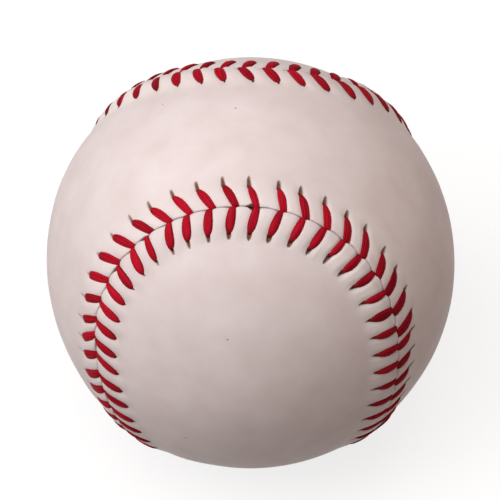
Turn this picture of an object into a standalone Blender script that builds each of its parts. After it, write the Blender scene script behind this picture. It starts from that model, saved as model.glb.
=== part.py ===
"""Stitched two-panel ball: cork pill, wool windings, two leather panels and their sewing thread.

Metres, +Z up, origin at the centre of the ball. The fourfold axis of the seam is +Z, one lobe of
the lower panel faces -Y, and the ball stands on the middle of the lower panel's waist.
"""

import bisect
import math
from dataclasses import dataclass

import bmesh
import bpy
from mathutils import Vector
from mathutils.kdtree import KDTree

# Pill and windings, from the centre outwards
CORK_DIAMETER = 0.0206
CUP_WALL = 0.0040
GASKET_HEIGHT = 0.0016
GASKET_INSET = 0.0003
JACKET_WALL = 0.0029
FIRST_WINDING_WALL = 0.01345
SECOND_WINDING_WALL = 0.00175
THIRD_WINDING_WALL = 0.0019
FINISHING_WINDING_WALL = 0.0004
YARN_HOLE_DIAMETER = 0.0015

# Leather panels
LEATHER_THICKNESS = 0.0012
WAIST_WIDTH = 0.0349
SEAM_LEAN = math.radians(9.8)
SEAM_RAISE = 0.0006
SEAM_RAISE_FLAT = 0.0040
SEAM_BAND = 0.0090
SEAM_GAP = 0.0008
LEATHER_FACET = 0.0050
TIP_DEPTH = 0.0025

# Sewing thread and the awl slits it passes through
STITCH_PITCH = 0.0041
THREAD_THICKNESS = 0.0004
THREAD_CROWN = 0.0005
THREAD_WIDTH = 0.0017
THREAD_CROWN_WIDTH = 0.0010
THREAD_WIDTH_IN_GAP = 0.0010
THREAD_WIDTH_IN_SLIT = 0.0008
UPPER_SLIT_BACK = 0.0021
UPPER_SLIT_REACH = 0.0042
UPPER_SLIT_TAIL = 0.0011
UPPER_SLIT_LEAN = 0.0002
LOWER_SLIT_BACK = 0.0017
LOWER_SLIT_REACH = 0.0047
LOWER_SLIT_TAIL = 0.0008
LOWER_SLIT_LEAN = 0.0
SLIT_END_WIDTH = 0.0007
CROSSING_SHIFT = 0.00075

# Clearances
NEST_CLEARANCE = 0.0001
COVER_CLEARANCE = 0.0003
THREAD_CLEARANCE = 0.0001
THREAD_BED_CLEARANCE = 0.0002
SLIT_CLEARANCE = 0.00025

# Mesh resolution
TURN_SEGMENTS = 16
LATITUDE_STEPS = 4
SEAM_SAMPLES = 4000
TURN_STEP = 0.001
CREASE_ANGLE = math.radians(50.0)
LEAST_THREAD_GAP = 0.0004

# Radii that follow from the sizes above
CORK_RADIUS = CORK_DIAMETER / 2.0
CUP_INNER = CORK_RADIUS + NEST_CLEARANCE
CUP_OUTER = CUP_INNER + CUP_WALL
JACKET_INNER = CUP_OUTER + NEST_CLEARANCE
JACKET_OUTER = JACKET_INNER + JACKET_WALL
FIRST_INNER = JACKET_OUTER + NEST_CLEARANCE
FIRST_OUTER = FIRST_INNER + FIRST_WINDING_WALL
SECOND_INNER = FIRST_OUTER + NEST_CLEARANCE
SECOND_OUTER = SECOND_INNER + SECOND_WINDING_WALL
THIRD_INNER = SECOND_OUTER + NEST_CLEARANCE
THIRD_OUTER = THIRD_INNER + THIRD_WINDING_WALL
FINISHING_INNER = THIRD_OUTER + NEST_CLEARANCE
FINISHING_OUTER = FINISHING_INNER + FINISHING_WINDING_WALL
COVER_RADIUS = FINISHING_OUTER + COVER_CLEARANCE + LEATHER_THICKNESS
THREAD_BED = FINISHING_OUTER + THREAD_BED_CLEARANCE + THREAD_THICKNESS / 2.0


@dataclass(frozen=True)
class Side:
    """Where the stitches of one panel lie; sign is +1 on the left of the seam's travel."""

    sign: int
    slit_back: float
    slit_reach: float
    slit_tail: float
    slit_lean: float
    tip_quarter: int


UPPER = Side(1, UPPER_SLIT_BACK, UPPER_SLIT_REACH, UPPER_SLIT_TAIL, UPPER_SLIT_LEAN, 1)
LOWER = Side(-1, LOWER_SLIT_BACK, LOWER_SLIT_REACH, LOWER_SLIT_TAIL, LOWER_SLIT_LEAN, 0)


class Seam:
    """The closed seam line, addressed by its length over the cover."""

    def __init__(self):
        waist = WAIST_WIDTH / (2.0 * COVER_RADIUS)
        self.rise = 2.0 / (3.0 * math.tan(waist) + 2.0 * math.tan(SEAM_LEAN))
        self.swing = 1.0 - self.rise * math.tan(waist)
        self.turns = [2.0 * math.pi * i / SEAM_SAMPLES for i in range(SEAM_SAMPLES + 1)]
        self.lengths = self.measure()
        self.length = self.lengths[-1]
        self.stitches = 4 * round(self.length / (4.0 * STITCH_PITCH))
        self.pitch = self.length / self.stitches

    def direction(self, turn):
        """Unit vector from the ball's centre to the seam at a turn of its parameter."""
        x = -math.sin(turn) - self.swing * math.sin(3.0 * turn)
        y = math.cos(turn) - self.swing * math.cos(3.0 * turn)
        z = self.rise * math.cos(2.0 * turn)
        return Vector((x, y, z)).normalized()

    def measure(self):
        """Running length over the cover at every sample of the parameter."""
        lengths = [0.0]
        last = self.direction(self.turns[0])
        for turn in self.turns[1:]:
            here = self.direction(turn)
            lengths.append(lengths[-1] + (here - last).length * COVER_RADIUS)
            last = here
        return lengths

    def turn_at(self, along):
        """Parameter of the seam at a length along it."""
        wrapped = along % self.length
        index = min(bisect.bisect_right(self.lengths, wrapped), SEAM_SAMPLES) - 1
        step = self.lengths[index + 1] - self.lengths[index]
        share = (wrapped - self.lengths[index]) / step
        return self.turns[index] + share * (self.turns[index + 1] - self.turns[index])

    def frame(self, along, across):
        """Outward, forward and leftward unit vectors at a place beside the seam."""
        turn = self.turn_at(along)
        out = self.direction(turn)
        ahead = self.direction(turn + TURN_STEP) - self.direction(turn - TURN_STEP)
        ahead.normalize()
        left = out.cross(ahead)
        angle = across / COVER_RADIUS
        outward = out * math.cos(angle) + left * math.sin(angle)
        leftward = left * math.cos(angle) - out * math.sin(angle)
        return outward, ahead, leftward


def leather_radius(reach):
    """Outer radius of the leather at a distance from the seam: raised where it is sewn."""
    fall = (reach - SEAM_RAISE_FLAT) / (SEAM_BAND - SEAM_RAISE_FLAT)
    share = min(max(fall, 0.0), 1.0)
    return COVER_RADIUS + SEAM_RAISE * 0.5 * (1.0 + math.cos(math.pi * share))


def linear_colour(code):
    """Linear RGBA of an sRGB hex code."""
    channels = [int(code[i:i + 2], 16) / 255.0 for i in (0, 2, 4)]
    linear = [c / 12.92 if c <= 0.04045 else ((c + 0.055) / 1.055) ** 2.4 for c in channels]
    return (linear[0], linear[1], linear[2], 1.0)


def make_material(name, code, roughness):
    """A plain surface of one colour and roughness."""
    material = bpy.data.materials.new(name)
    material.use_nodes = True
    shader = material.node_tree.nodes["Principled BSDF"]
    shader.inputs["Base Color"].default_value = linear_colour(code)
    shader.inputs["Roughness"].default_value = roughness
    shader.inputs["Metallic"].default_value = 0.0
    material.diffuse_color = linear_colour(code)
    return material


def add_body(name, points, faces, material):
    """One named closed body from points and faces, shaded smooth up to its creases."""
    mesh = bpy.data.meshes.new(name)
    mesh.from_pydata([tuple(p) for p in points], [], faces)
    work = bmesh.new()
    work.from_mesh(mesh)
    bmesh.ops.triangulate(work, faces=work.faces[:])
    bmesh.ops.recalc_face_normals(work, faces=work.faces[:])
    work.to_mesh(mesh)
    work.free()
    mesh.shade_smooth()
    mesh.set_sharp_from_angle(angle=CREASE_ANGLE)
    mesh.materials.append(material)
    body = bpy.data.objects.new(name, mesh)
    bpy.context.scene.collection.objects.link(body)
    return body


def lathe(name, profile, closed, material):
    """A body turned about +Z from (radius, height) points; closed joins the last to the first."""
    points = []
    rows = []
    for radius, height in profile:
        on_axis = radius == 0.0
        count = 1 if on_axis else TURN_SEGMENTS
        rows.append([len(points) + i for i in range(count)])
        for i in range(count):
            angle = 2.0 * math.pi * i / TURN_SEGMENTS
            points.append((radius * math.cos(angle), radius * math.sin(angle), height))
    pairs = list(zip(rows, rows[1:]))
    if closed:
        pairs.append((rows[-1], rows[0]))
    faces = []
    for low, high in pairs:
        faces.extend(lathe_band(low, high))
    return add_body(name, points, faces, material)


def lathe_band(low, high):
    """Faces between two turned rows, either of which may be one point on the axis."""
    faces = []
    if len(low) == 1 and len(high) == 1:
        return faces
    for i in range(TURN_SEGMENTS):
        k = (i + 1) % TURN_SEGMENTS
        if len(low) == 1:
            faces.append((low[0], high[k], high[i]))
        elif len(high) == 1:
            faces.append((low[i], low[k], high[0]))
        else:
            faces.append((low[i], low[k], high[k], high[i]))
    return faces


def arc(radius, first_step, last_step):
    """Profile points of a sphere at whole latitude steps, the poles exactly on the axis."""
    points = []
    for step in range(first_step, last_step + 1):
        if abs(step) == LATITUDE_STEPS:
            points.append((0.0, math.copysign(radius, step)))
        else:
            latitude = 0.5 * math.pi * step / LATITUDE_STEPS
            points.append((radius * math.cos(latitude), radius * math.sin(latitude)))
    return points


def add_ball(name, radius, material):
    """A solid sphere."""
    return lathe(name, arc(radius, -LATITUDE_STEPS, LATITUDE_STEPS), False, material)


def rim_point(radius, rim):
    """Profile point at a small height, on the facet between the equator and the next latitude."""
    above = arc(radius, 1, 1)[0]
    share = rim / above[1]
    return (radius + share * (above[0] - radius), rim)


def add_cup(name, inner, outer, rim, upward, material):
    """Half of a hollow sphere whose flat rim stands a little off the equator."""
    outside = [rim_point(outer, rim)] + arc(outer, 1, LATITUDE_STEPS)
    inside = [rim_point(inner, rim)] + arc(inner, 1, LATITUDE_STEPS)
    profile = outside + inside[::-1]
    if not upward:
        profile = [(radius, -height) for radius, height in profile]
    return lathe(name, profile, True, material)


def add_gasket(name, material):
    """The flat ring between the rims of the two cups."""
    half = GASKET_HEIGHT / 2.0
    outer = CUP_OUTER - GASKET_INSET
    profile = [(CUP_INNER, -half), (outer, -half), (outer, half), (CUP_INNER, half)]
    return lathe(name, profile, True, material)


def add_winding(name, inner, outer, material):
    """A wound shell, open only at the small hole its yarn tail is drawn through."""
    hole = YARN_HOLE_DIAMETER / 2.0
    outside = arc(outer, -LATITUDE_STEPS, LATITUDE_STEPS - 1)
    outside.append((hole, math.sqrt(outer ** 2 - hole ** 2)))
    inside = arc(inner, -LATITUDE_STEPS, LATITUDE_STEPS - 1)
    inside.append((hole, math.sqrt(inner ** 2 - hole ** 2)))
    return lathe(name, outside + inside[::-1], False, material)


def zip_rows(first, second):
    """Triangles between two rows of (place, vertex), both in rising order of place."""
    faces = []
    i = 0
    j = 0
    while i + 1 < len(first) or j + 1 < len(second):
        first_left = i + 1 < len(first)
        second_left = j + 1 < len(second)
        if first_left and (not second_left or first[i + 1][0] <= second[j + 1][0]):
            faces.append((first[i][1], first[i + 1][1], second[j][1]))
            i += 1
        else:
            faces.append((first[i][1], second[j + 1][1], second[j][1]))
            j += 1
    return faces


def odd_count(length):
    """Odd number of leather facets over a length, so that one lies across the middle."""
    return 2 * max(0, round((length / LEATHER_FACET - 1.0) / 2.0)) + 1


class Panel:
    """One figure-eight leather panel: raised, slit edge band and smooth middle."""

    def __init__(self, seam, side):
        self.seam = seam
        self.side = side
        self.directions = []
        self.radii = []
        self.faces = []
        self.walls = []
        self.build_band()

    def add_row(self, places, reach):
        """Outer-skin points at one distance from the seam, as (place, vertex) in order.

        A place is a length along the seam and a step ahead of it over the leather.
        """
        row = []
        for along, step in places:
            row.append((along + step, len(self.directions)))
            outward, ahead, _ = self.seam.frame(along, self.side.sign * reach)
            self.directions.append((outward * COVER_RADIUS + ahead * step).normalized())
            self.radii.append(leather_radius(reach))
        return row

    def closed(self, row):
        """The row with its first point repeated one seam length on."""
        return row + [(row[0][0] + self.seam.length, row[0][1])]

    def build_band(self):
        """Edge, slit and inner rows of the sewn band, then the smooth middle."""
        side = self.side
        pitch = self.seam.pitch
        stitches = range(self.seam.stitches)
        half_near = THREAD_WIDTH_IN_SLIT / 2.0 + SLIT_CLEARANCE
        half_far = SLIT_END_WIDTH / 2.0
        near_reach = side.slit_reach - THREAD_THICKNESS / 2.0 - SLIT_CLEARANCE
        far_reach = side.slit_reach + side.slit_tail
        near = []
        far = []
        for k in stitches:
            middle = k * pitch - side.slit_back
            near.extend(((middle, -half_near), (middle, half_near)))
            far.extend(((middle - side.slit_lean, -half_far), (middle - side.slit_lean, half_far)))
        edge_row = self.add_row([(k * pitch, 0.0) for k in stitches], SEAM_GAP / 2.0)
        near_row = self.add_row(near, near_reach)
        far_row = self.add_row(far, far_reach)
        base_row = self.add_row([((k + 0.5) * pitch, 0.0) for k in stitches], SEAM_BAND)
        self.faces.extend(zip_rows(self.closed(edge_row), self.closed(near_row)))
        self.faces.extend(zip_rows(self.closed(far_row), self.closed(base_row)))
        self.join_slits([v for _, v in near_row], [v for _, v in far_row])
        self.walls.append([v for _, v in edge_row])
        self.build_middle([v for _, v in base_row])

    def join_slits(self, near, far):
        """Leather between neighbouring slits, and the outline of each slit."""
        count = len(near)
        for k in range(0, count, 2):
            following = (k + 2) % count
            self.faces.append((near[k + 1], near[following], far[following], far[k + 1]))
            self.walls.append([near[k], near[k + 1], far[k + 1], far[k]])

    def build_middle(self, base):
        """Smooth leather inside the band, in ribs across the panel from edge to edge."""
        count = len(base)
        tip = self.side.tip_quarter * count // 4
        left = [base[(tip + j) % count] for j in range(count // 2)]
        right = [base[(tip - 1 - j) % count] for j in range(count // 2)]
        held = self.tip_points(left, right)
        rows = [self.tip_row(left[:held], right[:held])]
        for j in range(held, count // 2 - held):
            rows.append(self.add_rib(left[j], right[j]))
        rows.append(self.tip_row(left[:-held - 1:-1], right[:-held - 1:-1]))
        for first, second in zip(rows, rows[1:]):
            self.faces.extend(zip_rows(first, second))

    def tip_points(self, left, right):
        """Number of base points on each side that lie along the tip rather than beside it."""
        tip = self.directions[left[0]] + self.directions[right[0]]
        held = 1
        for start, end in zip(left[1:], right[1:]):
            middle = self.directions[start] + self.directions[end]
            if middle.angle(tip) * COVER_RADIUS > TIP_DEPTH:
                return held
            held += 1
        return held

    def tip_row(self, left, right):
        """The base points along a tip as one row, placed by their share of its length."""
        vertices = left[::-1] + right
        lengths = [0.0]
        for a, b in zip(vertices, vertices[1:]):
            lengths.append(lengths[-1] + (self.directions[a] - self.directions[b]).length)
        return [(length / lengths[-1], vertex) for length, vertex in zip(lengths, vertices)]

    def add_rib(self, start, end):
        """Points along the great circle between two base points."""
        first = self.directions[start]
        second = self.directions[end]
        angle = first.angle(second)
        steps = odd_count(angle * COVER_RADIUS)
        row = [(0.0, start)]
        for i in range(1, steps):
            share = i / steps
            row.append((share, len(self.directions)))
            mixed = first * math.sin((1.0 - share) * angle) + second * math.sin(share * angle)
            self.directions.append(mixed.normalized())
            self.radii.append(COVER_RADIUS)
        row.append((1.0, end))
        return row

    def add(self, name, material):
        """The panel as a body: outer skin, inner skin a leather thickness below, and walls."""
        count = len(self.directions)
        outer = [d * r for d, r in zip(self.directions, self.radii)]
        inner = [d * (r - LEATHER_THICKNESS) for d, r in zip(self.directions, self.radii)]
        faces = list(self.faces)
        faces.extend(tuple(v + count for v in reversed(face)) for face in self.faces)
        for loop in self.walls:
            for a, b in zip(loop, loop[1:] + loop[:1]):
                faces.append((a, b, b + count, a + count))
        return add_body(name, outer + inner, faces, material)


class Strand:
    """One closed strand of thread: arms a pitch apart on alternate panels of the seam."""

    def __init__(self, seam, first, second):
        self.seam = seam
        self.points = []
        for k in range(seam.stitches):
            self.add_arm(first if k % 2 == 0 else second, k)

    def add_ring(self, place, radius, lean, halves, thickness):
        """Four corners across the thread; lean gives its thin axis as (leftward, outward)."""
        outward, ahead, leftward = self.seam.frame(*place)
        centre = outward * radius
        thin = (leftward * lean[0] + outward * lean[1]) * (thickness / 2.0)
        self.points.append(centre - ahead * halves[0] + thin)
        self.points.append(centre + ahead * halves[0] + thin)
        self.points.append(centre + ahead * halves[1] - thin)
        self.points.append(centre - ahead * halves[1] - thin)

    def add_arm(self, side, k):
        """Up through the slit, over the leather, down the gap and on beneath the far panel."""
        sign = side.sign
        slit_along = k * self.seam.pitch - side.slit_back
        gap_along = k * self.seam.pitch + sign * CROSSING_SHIFT
        slit = (slit_along, sign * side.slit_reach)
        middle = ((slit_along + gap_along) / 2.0, sign * side.slit_reach / 2.0)
        gap = (gap_along, 0.0)
        lift = THREAD_CLEARANCE + THREAD_THICKNESS / 2.0
        slit_top = leather_radius(side.slit_reach) + lift
        gap_top = leather_radius(0.0) + lift
        crown = leather_radius(side.slit_reach / 2.0) + THREAD_CLEARANCE + THREAD_CROWN / 2.0
        in_slit = (THREAD_WIDTH_IN_SLIT / 2.0,) * 2
        in_gap = (THREAD_WIDTH_IN_GAP / 2.0,) * 2
        on_top = (THREAD_CROWN_WIDTH / 2.0, THREAD_WIDTH / 2.0)[::sign]
        self.add_ring(slit, THREAD_BED, (1.0, -sign), in_slit, THREAD_THICKNESS)
        self.add_ring(slit, slit_top, (1.0, sign), in_slit, THREAD_THICKNESS)
        self.add_ring(middle, crown, (0.0, sign), on_top, THREAD_CROWN)
        self.add_ring(gap, gap_top, (-1.0, sign), in_gap, THREAD_THICKNESS)
        self.add_ring(gap, THREAD_BED, (-1.0, sign), in_gap, THREAD_THICKNESS)

    def add(self, name, material):
        """The strand as one closed body."""
        count = len(self.points)
        faces = []
        for ring in range(0, count, 4):
            for corner in range(4):
                a = ring + corner
                b = ring + (corner + 1) % 4
                faces.append((a, b, (b + 4) % count, (a + 4) % count))
        return add_body(name, self.points, faces, material)


def least_gap(strand, other):
    """Least distance from a strand to another, or to itself beyond its next rings."""
    tree = KDTree(len(other.points))
    for index, point in enumerate(other.points):
        tree.insert(point, index)
    tree.balance()
    rings = len(strand.points) // 4
    least = math.inf
    for index, point in enumerate(strand.points):
        for _, found, distance in tree.find_range(point, STITCH_PITCH):
            apart = abs(index // 4 - found // 4)
            near = strand is other and min(apart, rings - apart) < 3
            if not near:
                least = min(least, distance)
    return least


def add_pill():
    """Cork, the two black cups with their gasket, and the two halves of the red jacket."""
    black = make_material("black_rubber", "2B2928", 0.75)
    red = make_material("red_rubber", "A5453B", 0.65)
    add_ball("cork_core", CORK_RADIUS, make_material("cork", "B58A5C", 0.85))
    cup_rim = GASKET_HEIGHT / 2.0 + NEST_CLEARANCE
    add_cup("rubber_cup_upper", CUP_INNER, CUP_OUTER, cup_rim, True, black)
    add_cup("rubber_cup_lower", CUP_INNER, CUP_OUTER, cup_rim, False, black)
    add_gasket("rubber_gasket", red)
    add_cup("rubber_jacket_upper", JACKET_INNER, JACKET_OUTER, NEST_CLEARANCE, True, red)
    add_cup("rubber_jacket_lower", JACKET_INNER, JACKET_OUTER, NEST_CLEARANCE, False, red)


def add_windings():
    """Three wool windings and the fine finishing winding over them."""
    grey = make_material("grey_wool", "8B8680", 0.95)
    white = make_material("white_wool", "DDD5C4", 0.95)
    cotton = make_material("finishing_cotton", "ECE6DA", 0.9)
    add_winding("wool_winding_first", FIRST_INNER, FIRST_OUTER, grey)
    add_winding("wool_winding_second", SECOND_INNER, SECOND_OUTER, white)
    add_winding("wool_winding_third", THIRD_INNER, THIRD_OUTER, grey)
    add_winding("finishing_winding", FINISHING_INNER, FINISHING_OUTER, cotton)


def add_cover():
    """Two leather panels and the two strands that lace them together."""
    seam = Seam()
    leather = make_material("white_leather", "E6DAD6", 0.5)
    thread = make_material("red_thread", "BE1630", 0.6)
    Panel(seam, UPPER).add("cover_panel_upper", leather)
    Panel(seam, LOWER).add("cover_panel_lower", leather)
    first = Strand(seam, UPPER, LOWER)
    second = Strand(seam, LOWER, UPPER)
    first.add("seam_thread_first", thread)
    second.add("seam_thread_second", thread)
    gaps = (least_gap(first, first), least_gap(second, second), least_gap(first, second))
    print("stitches", seam.stitches, "pitch", seam.pitch, "cover radius", COVER_RADIUS)
    print("least thread gaps", gaps, "wanted over", LEAST_THREAD_GAP)


def main():
    """Clear the scene and build every piece of the ball."""
    for stale in list(bpy.data.objects):
        bpy.data.objects.remove(stale)
    add_pill()
    add_windings()
    add_cover()


main()
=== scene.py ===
"""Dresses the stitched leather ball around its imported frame: cover, thread, core and studio."""

import logging
import math
from dataclasses import astuple, dataclass, field
from enum import Enum

import bpy
import numpy as np
from mathutils import Matrix, Vector


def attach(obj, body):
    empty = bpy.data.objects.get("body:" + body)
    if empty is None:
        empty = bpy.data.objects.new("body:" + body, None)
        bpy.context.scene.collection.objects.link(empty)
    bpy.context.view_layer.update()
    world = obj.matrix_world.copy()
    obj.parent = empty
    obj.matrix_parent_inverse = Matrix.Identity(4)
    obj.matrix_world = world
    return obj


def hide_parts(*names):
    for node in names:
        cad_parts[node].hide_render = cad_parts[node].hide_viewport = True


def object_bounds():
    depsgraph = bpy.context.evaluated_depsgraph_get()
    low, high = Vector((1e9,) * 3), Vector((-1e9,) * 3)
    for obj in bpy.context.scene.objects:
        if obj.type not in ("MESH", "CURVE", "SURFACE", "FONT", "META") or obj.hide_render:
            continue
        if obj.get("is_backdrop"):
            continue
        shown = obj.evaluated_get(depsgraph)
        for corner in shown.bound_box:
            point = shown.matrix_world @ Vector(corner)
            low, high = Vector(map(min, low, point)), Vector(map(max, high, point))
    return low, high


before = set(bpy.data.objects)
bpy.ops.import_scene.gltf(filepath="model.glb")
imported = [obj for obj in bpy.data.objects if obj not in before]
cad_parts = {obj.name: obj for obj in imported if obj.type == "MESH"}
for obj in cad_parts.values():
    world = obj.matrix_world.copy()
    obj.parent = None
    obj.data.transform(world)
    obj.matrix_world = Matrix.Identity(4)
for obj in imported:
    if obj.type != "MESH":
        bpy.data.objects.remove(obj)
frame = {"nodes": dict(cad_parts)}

Pairs = tuple[tuple[int, float], ...]
Arrays = tuple[np.ndarray, ...]
Piece = bpy.types.Object
Tree = bpy.types.NodeTree
Socket = bpy.types.NodeSocket
Pattern = tuple[Socket, Socket, list[tuple[Socket, str]]]

LOG = logging.getLogger("ball")
MM = 0.001
BODY = "root"
MERGE_DISTANCE = 0.000002
COVER_RADIUS = 0.0368
STITCHES = 96

# Values that change along the seam: pairs of a stitch number and the value there.
SEAM_DRIFT_MM: Pairs = (
    (0, 1.4), (1, 1.0), (2, 0.2), (4, -0.4), (8, 0.0), (30, 0.0), (34, -0.5), (37, -0.5), (39, -0.2),
    (41, 0.0), (50, 0.05), (54, 0.15), (60, 0.2), (66, 0.0), (85, 0.0), (87, -0.3), (89, -0.3), (90, 0.1),
    (91, 1.1), (92, 2.2), (93, 2.0), (95, 1.5),
)
SEAM_SWING_MM: Pairs = (
    (0, 0.10), (38, 0.14), (43, 0.10), (46, 0.05), (51, 0.05), (54, 0.16), (62, 0.16), (70, 0.10),
)
RIDGE_SWELL: Pairs = (
    (0, 1.0), (4, 1.15), (7, 1.35), (12, 1.0), (26, 0.9), (29, 0.7), (32, 1.0), (38, 0.9), (50, 0.9),
    (53, 1.2), (57, 1.2), (63, 0.6), (68, 0.6), (76, 1.0), (85, 1.4), (88, 1.2), (91, 0.85), (94, 1.0),
)
WIDE_GAPES_MM: Pairs = ((38, 0.16), (42, 0.16), (44, 0.20), (49, 0.60))
SEEN_STITCHES = (35, 62)


def linear_from_hex(code: str) -> tuple[float, float, float, float]:
    """Turns an sRGB hex code to linear RGBA.

    Args:
        code: Six hex digits.

    Returns:
        Linear red, green, blue and an alpha of one.
    """
    values = [int(code[i:i + 2], 16) / 255.0 for i in (0, 2, 4)]
    red, green, blue = (v / 12.92 if v <= 0.04045 else ((v + 0.055) / 1.055) ** 2.4 for v in values)
    return (red, green, blue, 1.0)


def add_node(
    tree: Tree,
    kind: str,
    settings: dict[str | int, object] | None = None,
    links: dict[str | int, Socket] | None = None,
) -> bpy.types.Node:
    """Adds a node with its settings and incoming links.

    Args:
        tree: Node tree that takes the node.
        kind: Blender's name for the shader node, without its first part.
        settings: Property names, socket names or socket numbers, with their values.
        links: Socket names or numbers, with the sockets that feed them.

    Returns:
        The new node.
    """
    node = tree.nodes.new("ShaderNode" + kind)
    for name, value in (settings or {}).items():
        if isinstance(name, int) or name in node.inputs:
            node.inputs[name].default_value = value
        else:
            setattr(node, name, value)
    for name, socket in (links or {}).items():
        tree.links.new(socket, node.inputs[name])
    return node


def per_metre(size_mm: float) -> float:
    """Texture scale that gives features of a size in millimetres on Object coordinates."""
    return 1.0 / (size_mm * MM)


def smooth_step(low: float, high: float, value: np.ndarray) -> np.ndarray:
    """Smooth rise from 0 at low to 1 at high."""
    share = np.clip((value - low) / (high - low), 0.0, 1.0)
    return share * share * (3.0 - 2.0 * share)


def bell(distance: np.ndarray, breadth: float) -> np.ndarray:
    """Smooth bell of height 1 that falls off over a breadth."""
    return np.exp(-((distance / breadth) ** 2))


def unit(vectors: np.ndarray) -> np.ndarray:
    """Vectors scaled to length one along their last axis."""
    return vectors / np.linalg.norm(vectors, axis=-1, keepdims=True)


def along_seam(pairs: Pairs, stitch: np.ndarray) -> np.ndarray:
    """Value at places counted in stitches, from pairs of a stitch number and the value there."""
    numbers, values = zip(*pairs)
    return np.interp(stitch, numbers, values, period=STITCHES)


def add_grid(name: str, columns: int, rows: int) -> tuple[Piece, np.ndarray, np.ndarray]:
    """Adds a flat grid and tells which column and row each of its points is in.

    Args:
        name: Name of the new piece.
        columns: Faces across the grid.
        rows: Faces along the grid.

    Returns:
        The piece, and the column and row number of every point.
    """
    bpy.ops.mesh.primitive_grid_add(x_subdivisions=columns, y_subdivisions=rows, size=2.0)
    piece = bpy.context.active_object
    piece.name = name
    piece.data.name = name
    flat = np.empty(len(piece.data.vertices) * 3)
    piece.data.vertices.foreach_get("co", flat)
    flat = flat.reshape(-1, 3)
    column = np.rint((flat[:, 0] + 1.0) / 2.0 * columns).astype(int)
    row = np.rint((flat[:, 1] + 1.0) / 2.0 * rows).astype(int)
    return piece, column, row


def lay_points(piece: Piece, points: np.ndarray) -> None:
    """Moves every point of a piece to its place in the frame."""
    piece.data.vertices.foreach_set("co", np.ascontiguousarray(points, dtype=np.float32).ravel())
    piece.data.update()


def set_attribute(piece: Piece, name: str, values: np.ndarray) -> None:
    """Stores one number per point of a piece under a name its material can read."""
    layer = piece.data.attributes.new(name, "FLOAT", "POINT")
    layer.data.foreach_set("value", np.ascontiguousarray(values, dtype=np.float32).ravel())


def close_mesh(piece: Piece) -> None:
    """Merges touching points, turns the faces outwards and shades the piece smooth.

    Args:
        piece: The piece, whose edges meet.
    """
    bpy.ops.object.select_all(action="DESELECT")
    piece.select_set(True)
    bpy.context.view_layer.objects.active = piece
    bpy.ops.object.mode_set(mode="EDIT")
    bpy.ops.mesh.select_all(action="SELECT")
    bpy.ops.mesh.remove_doubles(threshold=MERGE_DISTANCE)
    bpy.ops.mesh.normals_make_consistent(inside=False)
    bpy.ops.object.mode_set(mode="OBJECT")
    bpy.ops.object.shade_smooth()


def dress(piece: Piece, material: bpy.types.Material) -> None:
    """Gives a piece one material in place of what it had."""
    piece.data.materials.clear()
    piece.data.materials.append(material)


class PanelSide(Enum):
    """The two leather panels, by the side of the seam's travel they lie on."""

    UPPER = 1
    LOWER = -1

    @property
    def sign(self) -> float:
        """Sign of distances from the seam towards the panel."""
        return float(self.value)


class Layer(Enum):
    """The two faces of the leather, by the mark on their borders."""

    OUTER = 1.0
    INNER = 2.0


@dataclass(frozen=True)
class Bulge:
    """A broad place where the windings push the cover out, or let it in if its height is negative."""

    direction: tuple[float, float, float]
    height_mm: float
    breadth_deg: float

    def at(self, outward: np.ndarray) -> np.ndarray:
        """Height over the round ball in directions from its centre."""
        angle = np.arccos(np.clip(outward @ unit(np.array(self.direction)), -1.0, 1.0))
        return MM * self.height_mm * bell(angle, math.radians(self.breadth_deg))


@dataclass(frozen=True)
class Wave:
    """A wave over the ball, by its change of angle along x, y and z and the angle at the centre."""

    change: tuple[float, float, float]
    start: float

    def at(self, outward: np.ndarray) -> np.ndarray:
        """Height from -1 to 1 in directions from the ball's centre."""
        return np.sin(outward @ np.array(self.change) + self.start)


BULGES = (
    Bulge((-0.85, 0.35, 0.39), height_mm=0.42, breadth_deg=18.0),
    Bulge((-0.76, -0.51, -0.40), height_mm=0.25, breadth_deg=8.0),
    Bulge((-0.40, -0.69, -0.60), height_mm=0.40, breadth_deg=9.0),
    Bulge((1.00, 0.09, 0.00), height_mm=-0.22, breadth_deg=25.0),
)
SLOW_WAVES = (Wave((7.1, 0.0, 0.0), 2.0), Wave((0.0, 6.3, 0.0), 1.0), Wave((-5.2, 0.0, 8.7), 0.7))
QUICK_WAVES = (Wave((0.0, 19.0, 13.0), 0.0), Wave((17.0, 0.0, -11.0), 2.1))


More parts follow.
